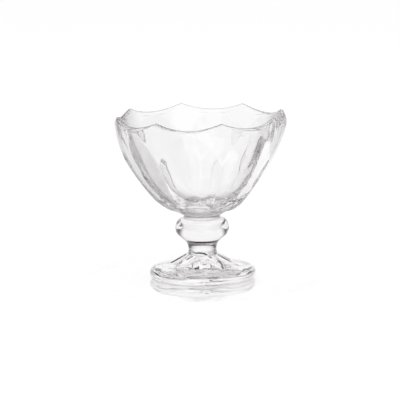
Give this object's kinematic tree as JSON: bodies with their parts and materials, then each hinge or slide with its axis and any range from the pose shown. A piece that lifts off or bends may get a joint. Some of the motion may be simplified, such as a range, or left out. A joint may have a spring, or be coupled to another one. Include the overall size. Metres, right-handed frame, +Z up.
{
  "type": "parfait glass",
  "caption": "Footed clear-glass dessert cup: a panelled bowl with a scalloped rim on a ball knop and a short waisted neck, with a fluted round foot",
  "frame": {"origin": "on the table under the middle of the foot, at the lowest point", "axes": "+Z is up along the axis of the glass; a panel of the bowl faces -Y, and the points of the rim lie halfway between the panels"},
  "size_m": [0.1048, 0.1048, 0.1016],
  "materials": {
    "glass": "clear, polished"
  },
  "bodies": {
    "root": {"bowl": "glass", "collar": "glass", "knop": "glass", "neck": "glass", "foot": "glass"}
  },
  "joints": []
}
